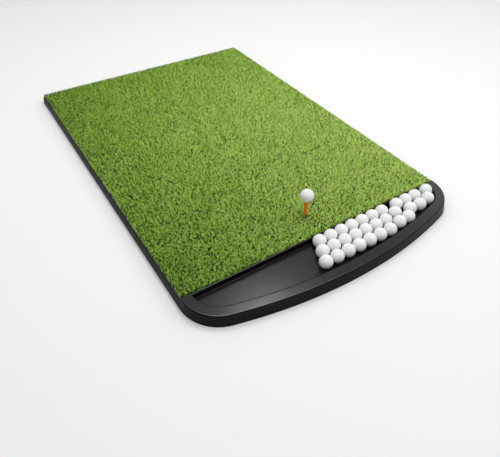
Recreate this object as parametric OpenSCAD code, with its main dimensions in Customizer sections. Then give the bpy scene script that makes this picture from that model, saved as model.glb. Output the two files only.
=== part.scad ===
// Golf hitting mat with a ball tray along its front edge.
// Frame: +Z up, origin on the ground at the middle of the whole object,
// +Y from the tray towards the far end of the turf, +X to the right.

/* [Overall size] */
// Width of the whole mat at the ground
overall_w = 998; // [800:1:1200]
// Length of the whole mat at the ground, tray included
overall_l = 1524; // [1200:1:1800]

/* [Mat] */
// Height of the rubber base
base_h = 28; // [24:1:32]
// Thickness of the base under the foam
slab_t = 8; // [6:1:10]
// Width of the base's solid border
border_w = 24; // [18:1:40]
// Width of the base's bare edge around the turf
bare_edge = 3; // [2:1:9]
// Thickness of the turf's backing
backing_t = 2; // [1:0.5:3]
// Height of the turf's pile above its backing
pile_h = 9; // [6:0.5:12]

/* [Tray] */
// Depth of the tray at its middle, front to back
tray_d = 181; // [170:1:200]
// Radius of the tray's bowed front edge
front_r = 1560; // [1400:10:1800]
// Straight run of each side before the corner starts
side_run = 4; // [2:1:6]
// Height of the tray's rim
rim_h = 38; // [36:1:44]
// Width of the rim, from the foot of its outer wall to the recess
rim_w = 42; // [40:0.5:46]
// Inward lean of the outer wall over the rim's height
wall_lean = 8; // [4:0.5:10]
// Radius of the rim's outer top edge
outer_edge_r = 3; // [2:0.5:4]
// Radius of the rim's inner top edge
inner_edge_r = 2.5; // [1:0.5:4]
// Height of the recess's floor
floor_z = 14; // [10:1:16]
// Thickness of the wall between the recess and the mat
back_wall_t = 5; // [3:0.5:6]
// Height of that wall
back_wall_h = 37; // [34:0.5:38]
// Width of the step at the foot of that wall
step_w = 4; // [2:0.5:6]
// Height of that step above the floor
step_h = 3; // [3:0.5:8]
// Length of the tongue under the mat
tongue_l = 45; // [30:1:60]
// Thickness of the tongue
tongue_t = 3.5; // [2.5:0.5:4]

/* [Golf balls] */
// Diameter of a golf ball
ball_d = 42.67; // [42.6:0.01:42.8]
// Spacing of the balls along a row
ball_pitch = 42.9; // [42.9:0.1:43]
// Balls in each of the three straight rows
row_balls = 7; // [1:1:7]

/* [Tee] */
// Distance of the tee behind the turf's front edge
tee_back = 91; // [60:1:400]
// Height of the tee's cup above the ground
tee_top = 96; // [70:1:110]
// Diameter of the tee's stem
tee_d = 10; // [9:0.5:12]
// Diameter of the tee's cup
cup_d = 13; // [12:0.5:14]
// Bore through the tee
tee_bore_d = 5; // [4:0.5:6]

/* [Hidden] */
$fn = 96;
ball_r = ball_d / 2;
half_w = overall_w / 2;
front_y = -overall_l / 2;
rear_y = overall_l / 2;
// Plane where the mat and the tray meet
joint_y = front_y + tray_d;
// Gap between pieces that move apart
gap = 0.3;
// Gap between pieces that stay together
fit_gap = 0.1;

// The tray's outline is one long arc with a corner arc at each end
arc_y = front_y + front_r;
corner_y = joint_y - side_run;
arc_drop = arc_y - corner_y;
corner_r = (front_r * front_r - half_w * half_w - arc_drop * arc_drop) / (2 * (front_r - half_w));
corner_x = half_w - corner_r;
// Half the angle that the long arc spans
arc_half = atan2(corner_x, arc_drop);

base_lean = wall_lean * base_h / rim_h;
turf_half_w = half_w - base_lean - bare_edge;
turf_front_y = joint_y + 1;
turf_rear_y = rear_y - base_lean - bare_edge;
backing_z = base_h;
pile_z = backing_z + backing_t;
pad_half_w = half_w - border_w;
pad_front_y = joint_y + border_w;
pad_rear_y = rear_y - border_w;
tongue_half_w = 420;
slot_side_gap = 3;
slot_top_gap = 0.5;
slot_end_gap = 2;

tee_y = turf_front_y + tee_back - 1;
tee_foot_z = slab_t + 0.2;
flare_h = 52;
cup_depth = 2.2;
running_gap = 0.05;
socket_d = 24;
socket_flange_d = 44;
socket_flange_t = 3;
pile_hole_d = 14;

// The back row lies against the wall, and each row nests into the one behind it
row_step_x = -19;
row_step_y = -38.6;
row_x = -33;
row_y = -back_wall_t - ball_r - 0.265;
// Balls that lie loose where the tray narrows: X from the middle, Y from the joint
loose_balls = [
    [237, -94.5], [280, -91], [257, -54.5], [314.5, -65.5], [357.5, -67.5],
    [403.5, -59.5], [290, row_y], [333, row_y], [376, row_y], [431, row_y]
];
row_places = [
    for (row = [0 : 2])
        for (i = [0 : row_balls - 1])
            [row_x + row * row_step_x + i * ball_pitch, row_y + row * row_step_y]
];
ball_places = concat(row_places, loose_balls);
ball_count = len(ball_places);

function ball_name(i) = str("ball_", i < 9 ? "0" : "", i + 1);

// Points of an arc about c, from angle a to angle b
function arc_points(c, r, a, b, n) = [
    for (i = [0 : n]) c + r * [cos(a + (b - a) * i / n), sin(a + (b - a) * i / n)]
];

// The tray's outline, moved inwards by inset, from the left end to the right end
function outline(inset) = concat(
    arc_points([-corner_x, corner_y], corner_r - inset, 180, 270 - arc_half, 12),
    arc_points([0, arc_y], front_r - inset, 270 - arc_half, 270 + arc_half, 36),
    arc_points([corner_x, corner_y], corner_r - inset, 270 + arc_half, 360, 12)
);

// Section of the rim: X runs inwards from the foot of the outer wall, Y runs up
module rim_section() {
    foot = 1.5;
    polygon(concat(
        [[foot, 0], [0, foot]],
        arc_points([wall_lean + outer_edge_r, rim_h - outer_edge_r], outer_edge_r, 180, 90, 6),
        arc_points([rim_w - inner_edge_r, rim_h - inner_edge_r], inner_edge_r, 90, 0, 6),
        [[rim_w, 0]]
    ));
}

// The rim's section swept about a corner's or the long arc's centre
module rim_arc(centre, r, from, sweep) {
    translate([centre[0], centre[1], 0])
        rotate([0, 0, from])
            rotate_extrude(angle = sweep, $fn = 180)
                translate([r, 0])
                    mirror([1, 0])
                        rim_section();
}

// The rim's left end: its corner and the straight run beside the joint
module rim_end() {
    rim_arc([-corner_x, corner_y], corner_r, 180, 90 - arc_half);
    translate([-half_w, corner_y, 0])
        rotate([90, 0, 0])
            mirror([0, 0, 1])
                linear_extrude(side_run - gap)
                    rim_section();
}

module tray_rim() {
    rim_arc([0, arc_y], front_r, 270 - arc_half, 2 * arc_half);
    rim_end();
    mirror([1, 0, 0])
        rim_end();
}

// Sunken floor, let a little into the rim all round
module tray_floor() {
    let_in = 3;
    end_x = half_w - rim_w + let_in;
    linear_extrude(floor_z)
        polygon(concat(
            [[-end_x, joint_y - gap]],
            outline(rim_w - let_in),
            [[end_x, joint_y - gap]]
        ));
}

// Wall between the recess and the mat, with its rounded lip and the step at its foot
module tray_back_wall() {
    let_in = 2;
    wall_half = half_w - rim_w + let_in;
    lip_r = 1.5;
    front = joint_y - back_wall_t;
    back = joint_y - gap;
    translate([-wall_half, 0, 0])
        rotate([90, 0, 90])
            linear_extrude(2 * wall_half)
                polygon(concat(
                    [[back, 0], [front - step_w, 0]],
                    [[front - step_w, floor_z + step_h], [front, floor_z + step_h]],
                    arc_points([front + lip_r, back_wall_h - lip_r], lip_r, 180, 90, 4),
                    arc_points([back - lip_r, back_wall_h - lip_r], lip_r, 90, 0, 4)
                ));
}

// Flat tongue that slides under the mat and is held down by it
module tray_tongue() {
    translate([-tongue_half_w, joint_y - back_wall_t, 0])
        cube([2 * tongue_half_w, back_wall_t + tongue_l, tongue_t]);
}

module ball_tray() {
    color([0.16, 0.16, 0.16])
        union() {
            tray_rim();
            tray_floor();
            tray_back_wall();
            tray_tongue();
        }
}

// A block with a flat front face whose sides and rear face lean inwards
module leaning_block(half, front, rear, height, lean) {
    intersection() {
        translate([0, rear, 0])
            rotate([90, 0, 0])
                linear_extrude(rear - front)
                    polygon([[-half, 0], [half, 0], [half - lean, height], [lean - half, height]]);
        translate([-half, 0, 0])
            rotate([90, 0, 90])
                linear_extrude(2 * half)
                    polygon([[front, 0], [rear, 0], [rear - lean, height], [front, height]]);
    }
}

module rubber_base() {
    slot_half_w = tongue_half_w + slot_side_gap;
    color([0.2, 0.2, 0.21])
        difference() {
            leaning_block(half_w, joint_y, rear_y, base_h, base_lean);
            // Well for the foam
            translate([-pad_half_w, pad_front_y, slab_t])
                cube([2 * pad_half_w, pad_rear_y - pad_front_y, base_h]);
            // Slot for the tray's tongue
            translate([-slot_half_w, joint_y - 1, -1])
                cube([2 * slot_half_w, 1 + tongue_l + slot_end_gap, 1 + tongue_t + slot_top_gap]);
        }
}

module foam_pad() {
    color([0.32, 0.33, 0.35])
        difference() {
            translate([-pad_half_w + fit_gap, pad_front_y + fit_gap, slab_t])
                cube([
                    2 * (pad_half_w - fit_gap),
                    pad_rear_y - pad_front_y - 2 * fit_gap,
                    base_h - slab_t
                ]);
            translate([0, tee_y, slab_t - 1])
                cylinder(d = socket_d + 2 * fit_gap, h = base_h);
            translate([0, tee_y, slab_t - 1])
                cylinder(d = socket_flange_d + 2 * fit_gap, h = 1 + socket_flange_t + fit_gap);
        }
}

module turf_sheet(z, thick, hole_d) {
    difference() {
        translate([-turf_half_w, turf_front_y, z])
            cube([2 * turf_half_w, turf_rear_y - turf_front_y, thick]);
        translate([0, tee_y, z - 1])
            cylinder(d = hole_d, h = thick + 2);
    }
}

module turf_backing() {
    color([0.1, 0.13, 0.08])
        turf_sheet(backing_z, backing_t, socket_d + 2 * fit_gap);
}

module turf_pile() {
    color([0.37, 0.5, 0.19])
        turf_sheet(pile_z, pile_h, pile_hole_d);
}

// Flanged rubber sleeve, set in the foam, that grips the tee
module tee_socket() {
    color([0.12, 0.12, 0.12])
        translate([0, tee_y, slab_t])
            difference() {
                union() {
                    cylinder(d = socket_d, h = pile_z - slab_t);
                    cylinder(d = socket_flange_d, h = socket_flange_t);
                }
                translate([0, 0, -1])
                    cylinder(d = tee_d + 2 * running_gap, h = pile_z);
            }
}

// Hollow rubber tee whose stem widens evenly towards its cup
module tee() {
    stem_r = tee_d / 2;
    bore_r = tee_bore_d / 2;
    cup_r = cup_d / 2;
    lip_t = 0.9;
    color([0.93, 0.42, 0.08])
        translate([0, tee_y, 0])
            rotate_extrude()
                polygon([
                    [bore_r, tee_foot_z], [stem_r, tee_foot_z], [stem_r, tee_top - flare_h],
                    [cup_r, tee_top - 1.5], [cup_r, tee_top - 0.6], [cup_r - 0.5, tee_top],
                    [cup_r - lip_t, tee_top], [bore_r, tee_top - cup_depth]
                ]);
}

module golf_ball(place) {
    color([0.93, 0.93, 0.92])
        translate(place)
            sphere(d = ball_d);
}

// The ball's lowest zone sits in the cup, on the inner edge of its lip
module tee_ball() {
    seat_r = cup_d / 2 - 0.9;
    seat_h = sqrt(ball_r * ball_r - seat_r * seat_r);
    golf_ball([0, tee_y, tee_top + seat_h + 0.15]);
}

rubber_base();
foam_pad();
turf_backing();
turf_pile();
tee_socket();
ball_tray();
tee();
tee_ball();
for (i = [0 : ball_count - 1])
    golf_ball([ball_places[i][0], joint_y + ball_places[i][1], floor_z + ball_r + fit_gap]);
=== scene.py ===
"""The looks of a golf hitting mat with a ball tray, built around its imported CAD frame.

Everything is in metres in the row frame: +Z up, +Y from the ball tray to the far end of the turf.
MM turns millimetres into metres where a size is easier to read that way.
"""

import math

import bmesh
import bpy
import numpy as np
from mathutils import Matrix, Vector
from mathutils.kdtree import KDTree


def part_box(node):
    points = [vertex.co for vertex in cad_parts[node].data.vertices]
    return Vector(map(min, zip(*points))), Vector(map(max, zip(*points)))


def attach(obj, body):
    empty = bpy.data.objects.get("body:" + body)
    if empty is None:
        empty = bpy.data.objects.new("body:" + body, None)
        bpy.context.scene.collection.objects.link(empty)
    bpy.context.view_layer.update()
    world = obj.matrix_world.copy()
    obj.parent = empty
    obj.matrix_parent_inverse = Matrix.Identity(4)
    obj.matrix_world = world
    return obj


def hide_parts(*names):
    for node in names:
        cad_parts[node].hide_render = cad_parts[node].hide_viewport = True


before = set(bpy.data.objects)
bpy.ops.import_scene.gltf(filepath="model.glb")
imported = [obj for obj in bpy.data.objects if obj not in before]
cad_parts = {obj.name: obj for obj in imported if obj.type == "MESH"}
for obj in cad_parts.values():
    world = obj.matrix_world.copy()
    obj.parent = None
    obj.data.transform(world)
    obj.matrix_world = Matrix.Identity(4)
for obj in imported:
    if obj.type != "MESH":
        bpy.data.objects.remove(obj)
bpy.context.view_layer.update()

MM = 0.001

# Places read from the CAD nodes
base_low, base_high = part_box("rubber_base")
tray_low, tray_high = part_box("ball_tray")
pad_low, pad_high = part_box("foam_pad")
backing_low, backing_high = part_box("turf_backing")
pile_low, pile_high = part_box("turf_pile")
socket_low, socket_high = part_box("tee_socket")
tee_low, tee_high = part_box("tee")

HALF_W = base_high.x
JOINT_Y = base_low.y
FRONT_Y = tray_low.y
RIM_H = tray_high.z
TEE_X = (tee_low.x + tee_high.x) / 2
TEE_Y = (tee_low.y + tee_high.y) / 2

# The tray's own sizes, as in the CAD model
FRONT_R = 1560 * MM
SIDE_RUN = 4 * MM
JOINT_GAP = 0.3 * MM
RIM_W = 42 * MM
WALL_LEAN = 8 * MM
FLOOR_Z = 14 * MM
BACK_WALL_T = 5 * MM
BACK_WALL_H = 37 * MM
STEP_W = 4 * MM
STEP_H = 3 * MM
TONGUE_HALF_W = 420 * MM
TONGUE_T = 3.5 * MM
BASE_LEAN = WALL_LEAN * base_high.z / RIM_H
SLAB_T = pad_low.z

# The tee's and the socket's own sizes, as in the CAD model
TEE_BORE_R = 2.5 * MM
TEE_STEM_R = 5 * MM
SOCKET_BORE_R = 5.05 * MM
SLEEVE_R = 12 * MM
FLANGE_R = 22 * MM
FLANGE_T = 3 * MM
SOCKET_GAP = 0.1 * MM

# The camera, at the photograph's viewing angle
CAMERA_PLACE = (-0.7713, -1.3464, 1.0520)
CAMERA_AZIMUTH = -33.252
CAMERA_ELEVATION = 43.443
CAMERA_ROLL = 0.761
CAMERA_LENS = 34.125
SENSOR_W = 36.0


# ---------------------------------------------------------------- materials


class Nodes:
    """A material's node tree, with short ways to add and join nodes."""

    def __init__(self, name):
        self.material = bpy.data.materials.new(name)
        self.material.use_nodes = True
        self.tree = self.material.node_tree
        self.shader = self.tree.nodes["Principled BSDF"]

    def add(self, kind, **settings):
        node = self.tree.nodes.new(kind)
        for name, value in settings.items():
            setattr(node, name, value)
        return node

    def join(self, source, target):
        self.tree.links.new(source, target)

    def set(self, **values):
        for name, value in values.items():
            self.shader.inputs[name.replace("_", " ")].default_value = value

    def place(self):
        """The point on the piece, in metres."""
        return self.add("ShaderNodeTexCoord").outputs["Object"]

    def noise(self, scale, detail=3.0):
        node = self.add("ShaderNodeTexNoise")
        node.inputs["Scale"].default_value = scale
        node.inputs["Detail"].default_value = detail
        node.inputs["Roughness"].default_value = 0.55
        self.join(self.place(), node.inputs["Vector"])
        return node.outputs["Fac"]

    def ramp(self, source, stops):
        """A colour ramp; stops are (position, colour) pairs."""
        node = self.add("ShaderNodeValToRGB")
        elements = node.color_ramp.elements
        while len(elements) < len(stops):
            elements.new(0.5)
        for element, (position, colour) in zip(elements, stops):
            element.position = position
            element.color = (*colour, 1)
        self.join(source, node.inputs["Fac"])
        return node.outputs["Color"]

    def spread(self, source, low, high):
        """A noise's usual range, 0.3 to 0.7, mapped to low to high."""
        node = self.add("ShaderNodeMapRange")
        node.inputs["From Min"].default_value = 0.3
        node.inputs["From Max"].default_value = 0.7
        node.inputs["To Min"].default_value = low
        node.inputs["To Max"].default_value = high
        self.join(source, node.inputs["Value"])
        return node.outputs["Result"]

    def bump(self, height, distance, strength=1.0):
        node = self.add("ShaderNodeBump")
        node.inputs["Strength"].default_value = strength
        node.inputs["Distance"].default_value = distance
        self.join(height, node.inputs["Height"])
        return node.outputs["Normal"]


def grey(value, blue=1.0):
    return (value, value, value * blue)


def moulded_rubber(name, low, high, rough_low, rough_high, shine):
    """Dark moulded rubber: cloudy colour, slightly uneven sheen and a fine moulded grain."""
    m = Nodes(name)
    cloud = m.noise(14, detail=5)
    m.join(m.ramp(cloud, [(0.3, low), (0.7, high)]), m.shader.inputs["Base Color"])
    m.join(m.spread(m.noise(45, detail=5), rough_low, rough_high), m.shader.inputs["Roughness"])
    m.join(m.bump(m.noise(1100, detail=2), 0.03 * MM, 0.6), m.shader.inputs["Normal"])
    m.set(Specular_IOR_Level=shine)
    return m.material


def tray_rubber():
    """The tray's materials: satin on upward faces, a darker, duller copy on walls and inner edges as
    painted shade, and a shinier copy on outer top edges as painted highlight.
    """
    return [
        moulded_rubber("tray_satin", grey(0.012), grey(0.015), 0.22, 0.25, 0.26),
        # darker, duller copy for walls and inner edges: painted shade
        moulded_rubber("tray_wall_painted_shade", grey(0.003), grey(0.005), 0.3, 0.36, 0.09),
        # shinier copy for the outer top edges and the lip: painted highlight
        moulded_rubber("tray_edge_painted_highlight", grey(0.012), grey(0.015), 0.26, 0.3, 1.0),
    ]


def base_rubber():
    return moulded_rubber("base_rubber", grey(0.010, 1.1), grey(0.016, 1.1), 0.5, 0.65, 0.2)


def socket_rubber():
    return moulded_rubber("socket_rubber", grey(0.014), grey(0.022), 0.6, 0.75, 0.4)


def tee_rubber():
    m = Nodes("tee_rubber")
    deep, bright = (0.99, 0.155, 0.001), (1.0, 0.19, 0.002)
    m.join(m.ramp(m.noise(60), [(0.3, deep), (0.7, bright)]), m.shader.inputs["Base Color"])
    m.join(m.spread(m.noise(140), 0.38, 0.5), m.shader.inputs["Roughness"])
    m.join(m.bump(m.noise(1500), 0.03 * MM), m.shader.inputs["Normal"])
    return m.material


def ball_cover():
    """Satin white cover with faint dulling in places."""
    m = Nodes("golf_ball")
    cloud = m.noise(70, detail=4)
    dull, clean = (0.72, 0.72, 0.715), (0.78, 0.78, 0.78)
    m.join(m.ramp(cloud, [(0.3, dull), (0.7, clean)]), m.shader.inputs["Base Color"])
    m.join(m.spread(m.noise(160), 0.52, 0.64), m.shader.inputs["Roughness"])
    m.set(Specular_IOR_Level=0.12)
    return m.material


def closed_cell_foam():
    m = Nodes("closed_cell_foam")
    cells = m.add("ShaderNodeTexVoronoi", feature="DISTANCE_TO_EDGE")
    cells.inputs["Scale"].default_value = 700
    m.join(m.place(), cells.inputs["Vector"])
    walls = cells.outputs["Distance"]
    dark, light = grey(0.06, 1.05), grey(0.11, 1.05)
    m.join(m.ramp(m.noise(40), [(0.3, dark), (0.7, light)]), m.shader.inputs["Base Color"])
    m.join(m.bump(walls, 0.3 * MM), m.shader.inputs["Normal"])
    m.set(Roughness=0.85)
    return m.material


def coated_cloth():
    """Woven backing cloth under a dark coat, with its threads crossing every 1.6 mm."""
    m = Nodes("coated_cloth")
    point = m.place()
    threads = []
    for direction in ("X", "Y"):
        wave = m.add("ShaderNodeTexWave", bands_direction=direction)
        wave.inputs["Scale"].default_value = 195
        wave.inputs["Distortion"].default_value = 0.4
        m.join(point, wave.inputs["Vector"])
        threads.append(wave.outputs["Fac"])
    weave = m.add("ShaderNodeMath", operation="MAXIMUM")
    m.join(threads[0], weave.inputs[0])
    m.join(threads[1], weave.inputs[1])
    low, high = (0.008, 0.014, 0.006), (0.022, 0.034, 0.014)
    m.join(m.ramp(weave.outputs[0], [(0.2, low), (0.9, high)]), m.shader.inputs["Base Color"])
    m.join(m.bump(weave.outputs[0], 0.25 * MM), m.shader.inputs["Normal"])
    m.set(Roughness=0.9)
    return m.material


# Yarn shades from the darkest to the palest; a fibre's blade low in the pile takes one shade darker
# than its tip, as painted shade
YARN_SHADES = [
    (0.014, 0.046, 0.0025),
    (0.052, 0.142, 0.008),
    (0.118, 0.265, 0.017),
    (0.205, 0.395, 0.032),
    (0.310, 0.525, 0.055),
    (0.430, 0.650, 0.093),
    (0.560, 0.765, 0.160),
    (0.710, 0.860, 0.285),
]


def yarn(index, colour):
    m = Nodes(f"yarn_{index}")
    m.set(Base_Color=(*colour, 1), Roughness=0.55, Specular_IOR_Level=0.16)
    return m.material


# ---------------------------------------------------------------- mesh tools


def new_piece(name, mesh, body, slot, *materials):
    """An object for the mesh that rides on a CAD body."""
    piece = bpy.data.objects.new(name, mesh)
    bpy.context.scene.collection.objects.link(piece)
    for material in materials:
        if material.name not in [m.name for m in mesh.materials if m]:
            mesh.materials.append(material)
    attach(piece, body)
    return piece


def smooth(mesh, angle):
    """Smooth shading, with edges sharper than angle degrees kept."""
    mesh.polygons.foreach_set("use_smooth", [True] * len(mesh.polygons))
    mesh.set_sharp_from_angle(angle=math.radians(angle))


def rounded(corners):
    """The polygon of the corners (u, v, radius) with each corner turned into an arc.

    A point just beyond each end of an arc keeps the flat faces shaded flat.
    """
    points, beside, steps = [], 0.3 * MM, 6
    count = len(corners)
    for i, (u, v, radius) in enumerate(corners):
        here = Vector((u, v))
        before = Vector(corners[i - 1][:2]) - here
        after = Vector(corners[(i + 1) % count][:2]) - here
        if radius <= 0:
            points.append(here)
            continue
        half = before.angle(after) / 2
        cut = radius / math.tan(half)
        start = here + before.normalized() * cut
        end = here + after.normalized() * cut
        bisector = (before.normalized() + after.normalized()).normalized()
        middle = here + bisector * (radius / math.sin(half))
        arm_a, arm_b = start - middle, end - middle
        sweep = arm_a.angle(arm_b)
        points.append(start + before.normalized() * beside)
        for k in range(steps + 1):
            t = k / steps
            part = arm_a * math.sin((1 - t) * sweep) + arm_b * math.sin(t * sweep)
            points.append(middle + part / math.sin(sweep))
        points.append(end + after.normalized() * beside)
    return points


def add_strip(bm, rings, closed_path=False):
    """Faces between each ring of points and the next, with a cap on each end of an open path."""
    made = [[bm.verts.new(p) for p in ring] for ring in rings]
    count = len(made[0])
    pairs = list(zip(made, made[1:]))
    if closed_path:
        pairs.append((made[-1], made[0]))
    for a, b in pairs:
        for i in range(count):
            j = (i + 1) % count
            bm.faces.new((a[i], a[j], b[j], b[i]))
    if not closed_path:
        bm.faces.new(made[0][::-1])
        bm.faces.new(made[-1])


def finished_mesh(bm, name, angle=40):
    bmesh.ops.recalc_face_normals(bm, faces=bm.faces)
    mesh = bpy.data.meshes.new(name)
    bm.to_mesh(mesh)
    bm.free()
    smooth(mesh, angle)
    return mesh


def ring_round_tee(radius, z, steps):
    """Points on a level circle round the tee's axis."""
    turns = [2 * math.pi * k / steps for k in range(steps)]
    return [(TEE_X + radius * math.cos(a), TEE_Y + radius * math.sin(a), z) for a in turns]


def lathe(name, profile):
    """A closed profile of (radius, z) points turned about the tee's axis."""
    bm = bmesh.new()
    rings = [ring_round_tee(radius, z, 96) for radius, z in profile]
    add_strip(bm, list(zip(*rings)), closed_path=True)
    return finished_mesh(bm, name)


def evaluated_mesh(obj, name):
    """The object's mesh with its modifiers applied; the object is removed."""
    graph = bpy.context.evaluated_depsgraph_get()
    mesh = bpy.data.meshes.new_from_object(obj.evaluated_get(graph))
    mesh.name = name
    bpy.data.objects.remove(obj)
    return mesh


def cut_and_bevelled(name, mesh, cutters, bevel, segments=3):
    """mesh less its cutters, with every sharp edge rounded."""
    body = bpy.data.objects.new(name + "_draft", mesh)
    bpy.context.scene.collection.objects.link(body)
    for cutter in cutters:
        bpy.context.scene.collection.objects.link(cutter)
        cut = body.modifiers.new("cut", "BOOLEAN")
        cut.operation = "DIFFERENCE"
        cut.solver = "EXACT"
        cut.object = cutter
    edge = body.modifiers.new("edge", "BEVEL")
    edge.width = bevel
    edge.segments = segments
    edge.limit_method = "ANGLE"
    edge.angle_limit = math.radians(35)
    edge.harden_normals = True
    result = evaluated_mesh(body, name)
    for cutter in cutters:
        bpy.data.objects.remove(cutter)
    smooth(result, 50)
    return result


def box_mesh(low, high):
    outline = [(low[0], low[1]), (high[0], low[1]), (high[0], high[1]), (low[0], high[1])]
    bm = bmesh.new()
    add_strip(bm, [[(x, y, z) for x, y in outline] for z in (low[2], high[2])])
    return finished_mesh(bm, "box")


def box_cutter(low, high):
    return bpy.data.objects.new("box_cutter", box_mesh(low, high))


def tee_hole_cutter(radius, z_low, z_high):
    """A cylinder round the tee's axis."""
    bm = bmesh.new()
    add_strip(bm, [ring_round_tee(radius, z, 64) for z in (z_low, z_high)])
    return bpy.data.objects.new("tee_hole_cutter", finished_mesh(bm, "round"))


# ---------------------------------------------------------------- tray

CORNER_Y = JOINT_Y - SIDE_RUN
ARC_Y = FRONT_Y + FRONT_R
ARC_DROP = ARC_Y - CORNER_Y
CORNER_R = (FRONT_R**2 - HALF_W**2 - ARC_DROP**2) / (2 * (FRONT_R - HALF_W))
CORNER_X = HALF_W - CORNER_R
ARC_HALF = math.atan2(CORNER_X, ARC_DROP)


def arc_stations(centre, radius, start, end, count):
    """Stations on an arc: each is a point and the direction inwards, to the arc's centre."""
    found = []
    for k in range(count + 1):
        a = start + (end - start) * k / count
        out = Vector((math.cos(a), math.sin(a)))
        found.append((Vector(centre) + out * radius, -out))
    return found


def tray_stations():
    """Stations along the tray's outline at the ground, from its left end to its right end."""
    down = 1.5 * math.pi
    left_end = (Vector((-HALF_W, JOINT_Y - JOINT_GAP)), Vector((1, 0)))
    right_end = (Vector((HALF_W, JOINT_Y - JOINT_GAP)), Vector((-1, 0)))
    left = arc_stations((-CORNER_X, CORNER_Y), CORNER_R, math.pi, down - ARC_HALF, 40)
    front = arc_stations((0, ARC_Y), FRONT_R, down - ARC_HALF, down + ARC_HALF, 110)
    right = arc_stations((CORNER_X, CORNER_Y), CORNER_R, down + ARC_HALF, 2 * math.pi, 40)
    return [left_end] + left + front[1:-1] + right + [right_end]


def rim_section():
    """Section of the rim as (inwards, up), with a groove near the top of its outer wall."""
    lean_at_top = WALL_LEAN * RIM_H / (RIM_H - 4.5 * MM)
    slant = lean_at_top / RIM_H
    groove_low, groove_high = RIM_H - 6.2 * MM, RIM_H - 4.0 * MM
    groove_in = slant * groove_high + 1.3 * MM
    fillet = 2 * MM
    return rounded([
        (0, 0, 1.2 * MM),
        (slant * groove_low, groove_low, 0.4 * MM),
        (groove_in, groove_low + 0.3 * MM, 0),
        (groove_in, groove_high - 0.3 * MM, 0),
        (slant * groove_high, groove_high, 0.4 * MM),
        (lean_at_top, RIM_H, 3.2 * MM),
        (RIM_W, RIM_H, 4.5 * MM),
        (RIM_W + 0.4 * MM, FLOOR_Z, fillet),
        (RIM_W + 0.4 * MM + fillet, FLOOR_Z, 0),
        (RIM_W + 0.4 * MM + fillet, 0, 0),
    ])


def add_rim(bm):
    """The rim's section swept along the outline, from one end of the joint to the other."""
    section = rim_section()
    rings = []
    for point, inwards in tray_stations():
        rings.append([(*(point + inwards * u), v) for u, v in section])
    add_strip(bm, rings)


def add_floor(bm):
    """The recess's floor, let into the rim and the back wall."""
    let_in = 2 * MM
    back_y = JOINT_Y - BACK_WALL_T / 2
    corner_x = HALF_W - RIM_W + let_in
    edge = [tuple(point + inwards * (RIM_W - let_in)) for point, inwards in tray_stations()[1:-1]]
    outline = [(-corner_x, back_y)] + edge + [(corner_x, back_y)]
    add_strip(bm, [[(x, y, z) for x, y in outline] for z in (0.6 * MM, FLOOR_Z)])


def add_back_wall(bm):
    """The wall along the turf, with a thin lip at its top and a step at its foot."""
    front = JOINT_Y - BACK_WALL_T
    back = JOINT_Y - JOINT_GAP
    section = rounded([
        (back, 0.4 * MM, 0),
        (front - STEP_W, 0.4 * MM, 0),
        (front - STEP_W, FLOOR_Z + STEP_H, 1.0 * MM),
        (front, FLOOR_Z + STEP_H, 0.8 * MM),
        (front, BACK_WALL_H, 1.2 * MM),
        (back, BACK_WALL_H, 0.5 * MM),
    ])
    half = HALF_W - RIM_W + 2 * MM
    add_strip(bm, [[(x, y, z) for y, z in section] for x in np.linspace(-half, half, 25)])


def add_tongue(bm):
    """The flat tongue that lies in the slot under the mat."""
    half, back = TONGUE_HALF_W, tray_high.y
    front = JOINT_Y - BACK_WALL_T
    section = rounded([
        (front, 0.2 * MM, 0),
        (back, 0.2 * MM, 0.8 * MM),
        (back, TONGUE_T, 1.4 * MM),
        (front, TONGUE_T, 0),
    ])
    add_strip(bm, [[(x, y, z) for y, z in section] for x in np.linspace(-half, half, 13)])


def finish_and_painted_light_of(face):
    """The tray material of a face: 0 for satin, 1 for the darker painted-shade copy on walls and inner
    top edges, 2 for the shinier painted-highlight copy on outer top edges.
    """
    up = face.normal.z
    outwards = face.normal.y < 0.01 and face.normal.x * face.center.x >= 0
    # steep faces take the painted-shade copy; outward top edges take the painted-highlight copy
    if up < 0.75:
        return 1
    if up < 0.99 and face.center.z > BACK_WALL_H - 3 * MM:
        return 2 if outwards else 1
    return 0


def make_tray():
    bm = bmesh.new()
    add_rim(bm)
    add_floor(bm)
    add_back_wall(bm)
    add_tongue(bm)
    mesh = finished_mesh(bm, "tray_moulding", 30)
    mesh.polygons.foreach_set("material_index", [finish_and_painted_light_of(face) for face in mesh.polygons])
    piece = new_piece("tray_moulding", mesh, "tray", "tray_rubber", *tray_rubber())
    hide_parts("ball_tray")


# ---------------------------------------------------------------- mat layers


def leaning_block():
    """The base's outer form: a flat front, leaning sides and rear, and round rear corners."""
    corner, steps = 7 * MM, 8
    levels = [(0, 0), (BASE_LEAN, base_high.z)]
    rings = []
    for lean, z in levels:
        half, rear = HALF_W - lean, base_high.y - lean
        ring = [(-half, JOINT_Y, z), (half, JOINT_Y, z)]
        for side, start in ((1, 0.0), (-1, 0.5 * math.pi)):
            for k in range(steps + 1):
                a = start + 0.5 * math.pi * k / steps
                x = side * (half - corner) + corner * math.cos(a)
                ring.append((x, rear - corner + corner * math.sin(a), z))
        rings.append(ring)
    bm = bmesh.new()
    add_strip(bm, rings)
    return finished_mesh(bm, "rubber_base_block")


def make_base():
    well = box_cutter(
        (pad_low.x - 0.1 * MM, pad_low.y - 0.1 * MM, SLAB_T),
        (pad_high.x + 0.1 * MM, pad_high.y + 0.1 * MM, 2 * base_high.z),
    )
    slot_half = TONGUE_HALF_W + 3 * MM
    slot = box_cutter(
        (-slot_half, JOINT_Y - 1 * MM, -1 * MM),
        (slot_half, tray_high.y + 2 * MM, TONGUE_T + 0.5 * MM),
    )
    mesh = cut_and_bevelled("rubber_base_moulding", leaning_block(), [well, slot], 1.4 * MM)
    piece = new_piece("rubber_base_moulding", mesh, "mat", "base_rubber", base_rubber())
    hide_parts("rubber_base")


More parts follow.
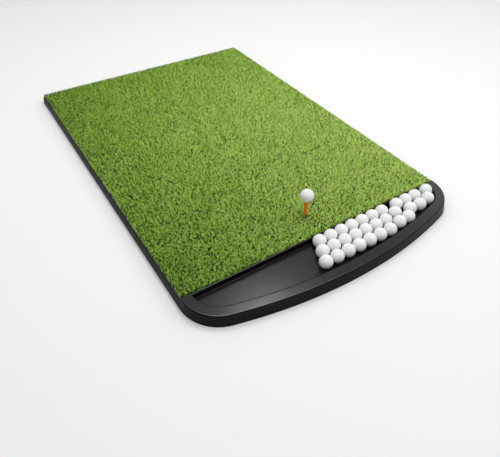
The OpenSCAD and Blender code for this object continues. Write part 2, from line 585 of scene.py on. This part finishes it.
def make_pad():
    holes = [
        tee_hole_cutter(SLEEVE_R + SOCKET_GAP, 0, 2 * pad_high.z),
        tee_hole_cutter(FLANGE_R + SOCKET_GAP, 0, SLAB_T + FLANGE_T + SOCKET_GAP),
    ]
    mesh = cut_and_bevelled("shock_pad", box_mesh(pad_low, pad_high), holes, 1.5 * MM)
    piece = new_piece("shock_pad", mesh, "mat", "foam", closed_cell_foam())
    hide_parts("foam_pad")


def make_backing():
    hole = tee_hole_cutter(SLEEVE_R + SOCKET_GAP, 0, 2 * backing_high.z)
    mesh = box_mesh(backing_low, backing_high)
    mesh = cut_and_bevelled("backing_cloth", mesh, [hole], 0.4 * MM, segments=2)
    piece = new_piece("backing_cloth", mesh, "mat", "turf_backing", coated_cloth())
    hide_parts("turf_backing")


# ---------------------------------------------------------------- turf

TUFT_PITCH = 5.0 * MM
FIBRES_PER_TUFT = 9
TILES_X, TILES_Y = 2, 4


class Waves:
    """Slow, smooth variation over the turf, from -1 to 1."""

    def __init__(self, rng, longest, shortest):
        count = 14
        length = np.exp(rng.uniform(np.log(shortest), np.log(longest), count))
        turn = rng.uniform(0, 2 * np.pi, count)
        self.kx = 2 * np.pi * np.cos(turn) / length
        self.ky = 2 * np.pi * np.sin(turn) / length
        self.phase = rng.uniform(0, 2 * np.pi, count)

    def at(self, x, y):
        total = np.zeros_like(x)
        for kx, ky, phase in zip(self.kx, self.ky, self.phase):
            total += np.sin(kx * x + ky * y + phase)
        return np.clip(total / math.sqrt(2 * len(self.kx)), -1, 1)


def tuft_places(rng):
    """Jittered rows of tufts over the backing, as grids of x and y."""
    nx = round((pile_high.x - pile_low.x) / TUFT_PITCH)
    ny = round((pile_high.y - pile_low.y) / TUFT_PITCH)
    inset = TUFT_PITCH / 3
    x, y = np.meshgrid(np.linspace(pile_low.x + inset, pile_high.x - inset, nx),
                       np.linspace(pile_low.y + inset, pile_high.y - inset, ny))
    x = x + rng.uniform(-0.3, 0.3, x.shape) * TUFT_PITCH
    y = y + rng.uniform(-0.3, 0.3, y.shape) * TUFT_PITCH
    return x, y


def fine_noise(rng, shape):
    """Noise over the tufts less its local mean, so that light and dark tufts stand evenly apart."""
    noise = rng.normal(size=shape)
    around = np.zeros(shape)
    for rows in (-1, 0, 1):
        for columns in (-1, 0, 1):
            around += np.roll(noise, (rows, columns), (0, 1)) / 9
    fine = noise - around
    return fine / fine.std()


def tuft_shades(rng, x, y):
    """The mean yarn shade of each tuft: a slope of painted light, random patches, painted shade at the
    edges and under the front edge, and a few dark tufts as painted shade in gaps.

    u and v run from -1 to 1 across and along the mat; the painted light makes the turf palest towards
    its right side.
    """
    patches = Waves(rng, 0.45, 0.08)
    blotches = Waves(rng, 0.03, 0.008)
    u, v = x / HALF_W, y / base_high.y
    # painted light: a smooth brightness slope across the turf, palest towards the right
    painted_light_slope = 1.2 * u - 0.25 * v - 0.95 * v * v - 0.55 * u * v - 0.55 * u * u
    fine = fine_noise(rng, x.shape)
    shade = 5.3 + painted_light_slope + 0.25 * patches.at(x, y) + 0.15 * blotches.at(x, y)
    shade += (0.85 - 0.15 * v - 0.1 * u) * fine
    # painted shade: tufts along the side and rear edges of the pile go darker
    shade -= 0.8 * (np.abs(u) > 0.985) + 1.8 * (v > 0.985)
    # painted shadow: many front-row tufts go darker, under the turf's front edge over the lip
    shade -= 2.4 * (y < pile_low.y + 4 * MM) * (rng.random(x.shape) < 0.6)
    # painted shade: tufts lowest in the fine noise go much darker, standing for gaps between tufts
    return np.where(fine < -1.15 - 0.35 * v - 0.2 * u, shade - 2.5 + 1.0 * v + 0.7 * u, shade)


def fibre_layout(rng):
    """Each fibre's root, heading and shade, grown in tufts."""
    tx, ty = tuft_places(rng)
    turn = rng.uniform(0, 2 * np.pi, tx.shape)
    shade = tuft_shades(rng, tx, ty)
    x, y, turn, shade = (np.repeat(v.ravel(), FIBRES_PER_TUFT) for v in (tx, ty, turn, shade))
    around = rng.uniform(0, 2 * np.pi, len(x))
    away = np.sqrt(rng.random(len(x))) * 2.2 * MM
    x = np.clip(x + away * np.cos(around), pile_low.x + 0.3 * MM, pile_high.x - 0.3 * MM)
    y = np.clip(y + away * np.sin(around), pile_low.y + 0.3 * MM, pile_high.y - 0.3 * MM)
    turn = turn + rng.normal(0, 0.7, len(x))
    shade = np.clip(np.round(rng.normal(shade, 1.3)), 0, len(YARN_SHADES) - 1).astype(int)
    clear = np.hypot(x - TEE_X, y - TEE_Y) > 6.0 * MM
    return x[clear], y[clear], turn[clear], shade[clear]


def span(heading, lean, length):
    """A step of that length, leaning from upright towards heading."""
    flat = np.sin(lean) * length
    return np.stack([heading[:, 0] * flat, heading[:, 1] * flat, np.cos(lean) * length], 1)


def edge_pull(x, y):
    """How near each fibre is to three edges, from 0 to 1, with the direction inwards from each."""
    reach = 6 * MM
    left = (x, pile_low.x, (1, 0))
    right = (x, pile_high.x, (-1, 0))
    rear = (y, pile_high.y, (0, -1))
    pulls = []
    for place, edge, inwards in (left, right, rear):
        pulls.append((np.clip(1.25 * (1 - np.abs(place - edge) / reach), 0, 1), np.array(inwards)))
    return pulls


def fibre_points(rng, x, y, turn):
    """Root, bend and tip of each fibre, and the direction across it."""
    count = len(x)
    heading = np.stack([np.cos(turn), np.sin(turn)], 1)
    fringe = np.zeros(count)
    for pull, inwards in edge_pull(x, y):
        heading = heading * (1 - 0.8 * pull)[:, None] + inwards * (0.8 * pull)[:, None]
        fringe = np.maximum(fringe, pull)
    heading /= np.linalg.norm(heading, axis=1)[:, None] + 1e-9
    by_tee = np.clip(2.0 - np.hypot(x - TEE_X, y - TEE_Y) / (8 * MM), 0, 1)
    length = rng.uniform(9, 13.5, count) * MM + 6.5 * MM * by_tee
    low_lean = rng.uniform(5, 35, count) * (1 - by_tee) * (1 - 0.8 * fringe)
    high_lean = rng.uniform(40, 84, count) * (1 - 0.9 * by_tee) * (1 - 0.3 * fringe)
    root = np.stack([x, y, np.full(count, pile_low.z)], 1)
    bend = root + span(heading, np.radians(low_lean), length * 0.5)
    tip = bend + span(heading, np.radians(high_lean), length * 0.5)
    across = np.stack([-heading[:, 1], heading[:, 0], rng.uniform(-0.5, 0.5, count)], 1)
    across /= np.linalg.norm(across, axis=1)[:, None]
    return root, bend, tip, across


def keep_clear(bend, tip):
    """Keeps the fibres at the front over the tray's lip and out of it, and all of them off the tee."""
    lip_top = BACK_WALL_H + 0.8 * MM
    wall_back = JOINT_Y + 0.2 * MM
    furthest = JOINT_Y - 0.4 * MM
    bend[:, 1] = np.maximum(bend[:, 1], wall_back - 1.5 * MM)
    for points in (bend, tip):
        over = points[:, 1] < wall_back + 0.5 * MM
        points[over, 2] = np.maximum(points[over, 2], lip_top)
        points[:, 1] = np.maximum(points[:, 1], furthest)
    tee = np.array([TEE_X, TEE_Y])
    for points, least in ((bend, 6.8 * MM), (tip, 6.6 * MM)):
        away = points[:, :2] - tee
        distance = np.linalg.norm(away, axis=1)
        near = distance < least
        push = least / np.maximum(distance[near], 0.1 * MM)
        points[near, :2] = tee + away[near] * push[:, None]


def fibre_mesh(name, root, bend, tip, across, width, shade):
    """Two faces a fibre: a blade from root to bend and a point from bend to tip; the blade takes the
    next darker shade as painted shade low in the pile.
    """
    count = len(root)
    half = across * (width / 2)[:, None]
    corners = np.stack([root - half, root + half, bend + half * 0.9, bend - half * 0.9, tip], 1)
    first = (np.arange(count) * 5)[:, None]
    loops = (first + np.array([0, 1, 2, 3, 3, 2, 4])).ravel()
    starts = (np.arange(count) * 7)[:, None] + np.array([0, 4])
    mesh = bpy.data.meshes.new(name)
    mesh.vertices.add(count * 5)
    mesh.vertices.foreach_set("co", corners.astype(np.float32).ravel())
    mesh.loops.add(count * 7)
    mesh.loops.foreach_set("vertex_index", loops.astype(np.int32))
    mesh.polygons.add(count * 2)
    mesh.polygons.foreach_set("loop_start", starts.astype(np.int32).ravel())
    # painted shade: the blade low in the pile is one yarn shade darker than the tip
    painted_shade_blade = np.clip(shade - 1, 0, None)
    mesh.polygons.foreach_set("material_index", np.stack([painted_shade_blade, shade], 1).astype(np.int32).ravel())
    mesh.update(calc_edges=True)
    mesh.polygons.foreach_set("use_smooth", [True] * (count * 2))
    return mesh


def tile_index(place, low, high, count):
    """The number of the tile that each place falls in."""
    return np.minimum(((place - low) / (high - low) * count).astype(int), count - 1)


def make_turf():
    rng = np.random.default_rng(7)
    x, y, turn, shade = fibre_layout(rng)
    root, bend, tip, across = fibre_points(rng, x, y, turn)
    keep_clear(bend, tip)
    width = rng.uniform(0.85, 1.4, len(x)) * MM
    materials = [yarn(i, colour) for i, colour in enumerate(YARN_SHADES)]
    column = tile_index(x, pile_low.x, pile_high.x, TILES_X)
    row = tile_index(y, pile_low.y, pile_high.y, TILES_Y)
    for i in range(TILES_X):
        for j in range(TILES_Y):
            here = (column == i) & (row == j)
            name = f"turf_fibres_{i + 1}_{j + 1}"
            chosen = [v[here] for v in (root, bend, tip, across, width, shade)]
            mesh = fibre_mesh(name, *chosen)
            piece = new_piece(name, mesh, "mat", "turf", *materials)
            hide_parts("turf_pile")


# ---------------------------------------------------------------- tee and socket


def make_tee():
    cup = tee_high.x - TEE_X
    top, foot = tee_high.z, tee_low.z
    profile = rounded([
        (TEE_BORE_R, foot, 0.4 * MM),
        (TEE_STEM_R, foot, 0.8 * MM),
        (TEE_STEM_R, top - 52 * MM, 60 * MM),
        (cup, top - 1.5 * MM, 0.4 * MM),
        (cup, top, 0.6 * MM),
        (cup - 0.9 * MM, top, 0.15 * MM),
        (TEE_BORE_R, top - 2.2 * MM, 0.3 * MM),
    ])
    mesh = lathe("rubber_tee", profile)
    piece = new_piece("rubber_tee", mesh, "tee_body", "tee_rubber", tee_rubber())
    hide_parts("tee")


def make_socket():
    foot, top = socket_low.z, socket_high.z
    profile = rounded([
        (SOCKET_BORE_R, foot, 0.3 * MM),
        (FLANGE_R, foot, 0.4 * MM),
        (FLANGE_R, foot + FLANGE_T, 0.8 * MM),
        (SLEEVE_R, foot + FLANGE_T, 0.6 * MM),
        (SLEEVE_R, top, 0.6 * MM),
        (SOCKET_BORE_R, top, 1.0 * MM),
    ])
    mesh = lathe("socket_sleeve", profile)
    piece = new_piece("socket_sleeve", mesh, "mat", "socket_rubber", socket_rubber())
    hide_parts("tee_socket")


# ---------------------------------------------------------------- balls

DIMPLE_ROWS = 6
STEPS_PER_DIMPLE = 8


def geodesic(frequency):
    """Unit-sphere points and triangles of an icosahedron whose edges are cut into frequency parts."""
    bm = bmesh.new()
    bmesh.ops.create_icosphere(bm, subdivisions=1, radius=1)
    triangles = [[v.co.copy() for v in face.verts] for face in bm.faces]
    bm.free()
    found, points, faces = {}, [], []

    def number(p):
        key = tuple(round(c, 5) for c in p)
        if key not in found:
            found[key] = len(points)
            points.append(p)
        return found[key]

    for a, b, c in triangles:
        grid = {}
        for i in range(frequency + 1):
            for j in range(frequency + 1 - i):
                p = (a * (frequency - i - j) + b * i + c * j).normalized()
                grid[i, j] = number(p)
        for i in range(frequency):
            for j in range(frequency - i):
                faces.append((grid[i, j], grid[i + 1, j], grid[i, j + 1]))
                if i + j < frequency - 1:
                    faces.append((grid[i + 1, j], grid[i + 1, j + 1], grid[i, j + 1]))
    return points, faces


def dimpled_ball(radius):
    """A ball whose dimples sit at the points of a coarser grid of the same kind."""
    centres, _ = geodesic(DIMPLE_ROWS)
    tree = KDTree(len(centres))
    for i, p in enumerate(centres):
        tree.insert(p, i)
    tree.balance()
    spacing = [sum(d for _, _, d in tree.find_n(p, 6)[1:]) / 5 for p in centres]
    points, faces = geodesic(DIMPLE_ROWS * STEPS_PER_DIMPLE)
    depth = 0.26 * MM
    placed = []
    for p in points:
        _, i, distance = tree.find(p)
        t = distance / (spacing[i] * 0.44)
        sunk = depth * (1 - t * t) if t < 1 else 0.0
        placed.append(p * (radius - sunk))
    mesh = bpy.data.meshes.new("dimpled_ball")
    mesh.from_pydata(placed, [], faces)
    mesh.polygons.foreach_set("use_smooth", [True] * len(mesh.polygons))
    return mesh


def make_balls():
    rng = np.random.default_rng(11)
    nodes = [n for n in sorted(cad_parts) if n.startswith("ball_") and n != "ball_tray"]
    low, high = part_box("tee_ball")
    mesh = dimpled_ball((high.z - low.z) / 2)
    mesh.materials.append(ball_cover())
    for node in ["tee_ball"] + nodes:
        low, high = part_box(node)
        body = "teed_ball" if node == "tee_ball" else node + "_body"
        piece = bpy.data.objects.new("dimpled_" + node, mesh)
        bpy.context.scene.collection.objects.link(piece)
        axis = Vector(rng.normal(size=3)).normalized()
        turn = Matrix.Rotation(rng.uniform(0, 2 * math.pi), 4, axis)
        piece.matrix_world = Matrix.Translation((low + high) / 2) @ turn
        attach(piece, body)
        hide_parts(node)


# ---------------------------------------------------------------- studio


def make_camera():
    az, el, roll = (math.radians(v) for v in (CAMERA_AZIMUTH, CAMERA_ELEVATION, CAMERA_ROLL))
    back = Vector((math.sin(az) * math.cos(el), -math.cos(az) * math.cos(el), math.sin(el)))
    right = (-back).cross(Vector((0, 0, 1))).normalized()
    up = right.cross(-back)
    turned_right = right * math.cos(roll) + up * math.sin(roll)
    turned_up = up * math.cos(roll) - right * math.sin(roll)
    data = bpy.data.cameras.new("camera")
    data.sensor_width = SENSOR_W
    data.sensor_fit = "HORIZONTAL"
    data.lens = CAMERA_LENS
    camera = bpy.data.objects.new("camera", data)
    bpy.context.scene.collection.objects.link(camera)
    turn = Matrix((turned_right, turned_up, back)).transposed().to_4x4()
    camera.matrix_world = Matrix.Translation(CAMERA_PLACE) @ turn
    bpy.context.scene.camera = camera


def make_floor():
    m = Nodes("studio_floor")
    m.set(Base_Color=(0.742, 0.738, 0.733, 1), Roughness=0.9, Specular_IOR_Level=0.1)
    floor = bpy.data.objects.new("studio_floor", box_mesh((-30, -30, -0.02), (30, 30, -0.0002)))
    bpy.context.scene.collection.objects.link(floor)
    floor.data.materials.append(m.material)


def soft_light(name, place, aim, size, power, colour, lights=True, mirrored=True):
    """An area light; lights=False leaves only its reflections, and mirrored=False leaves them out."""
    data = bpy.data.lights.new(name, "AREA")
    data.shape = "RECTANGLE"
    data.size, data.size_y = size
    data.energy = power
    data.color = colour
    lamp = bpy.data.objects.new(name, data)
    bpy.context.scene.collection.objects.link(lamp)
    lamp.location = place
    lamp.rotation_euler = (Vector(aim) - Vector(place)).to_track_quat("-Z", "Y").to_euler()
    lamp.visible_camera = False
    lamp.visible_diffuse = lights
    lamp.visible_glossy = mirrored


def make_world():
    """Even white surroundings that dim towards the horizon."""
    world = bpy.data.worlds.new("studio")
    world.use_nodes = True
    tree = world.node_tree
    sky = tree.nodes["Background"]
    direction = tree.nodes.new("ShaderNodeTexCoord").outputs["Generated"]
    split = tree.nodes.new("ShaderNodeSeparateXYZ")
    tree.links.new(direction, split.inputs[0])
    dim = tree.nodes.new("ShaderNodeMapRange")
    dim.interpolation_type = "SMOOTHSTEP"
    dim.inputs["From Min"].default_value = 0.0
    dim.inputs["From Max"].default_value = 0.6
    dim.inputs["To Min"].default_value = 0.48
    dim.inputs["To Max"].default_value = 0.66
    tree.links.new(split.outputs["Z"], dim.inputs["Value"])
    tree.links.new(dim.outputs["Result"], sky.inputs["Strength"])
    sky.inputs["Color"].default_value = (0.96, 0.983, 1, 1)
    bpy.context.scene.world = world


def make_lights():
    make_world()
    warm = (1, 0.99, 0.975)
    soft_light("overhead", (0.6, -0.8, 3.1), (0, -0.3, 0), (1.2, 1.0), 27, warm)
    soft_light("key", (0.78, 0.69, 2.8), (-0.32, -0.69, 0), (0.4, 0.4), 21, warm)
    soft_light("side", (4.7, -1.6, 4.28), (0, -0.1, 0), (3.2, 3.2), 102, warm, mirrored=False)
    soft_light("glint", (3.04, 0.89, 2.14), (0.5, -0.6, 0), (0.5, 0.5), 1.6, warm)
    soft_light("edge_gleam", (-0.9, -0.9, 2.2), (-0.25, -0.7, 0), (1.2, 0.9), 17, warm, lights=False)
    soft_light("back", (-1.2, 1.8, 3.0), (-0.5, 0.9, 0), (2, 2), 19, warm, mirrored=False)
    bpy.context.scene.view_settings.view_transform = "Standard"


make_camera()
make_tray()
make_base()
make_pad()
make_backing()
make_turf()
make_tee()
make_socket()
make_balls()
make_floor()
make_lights()
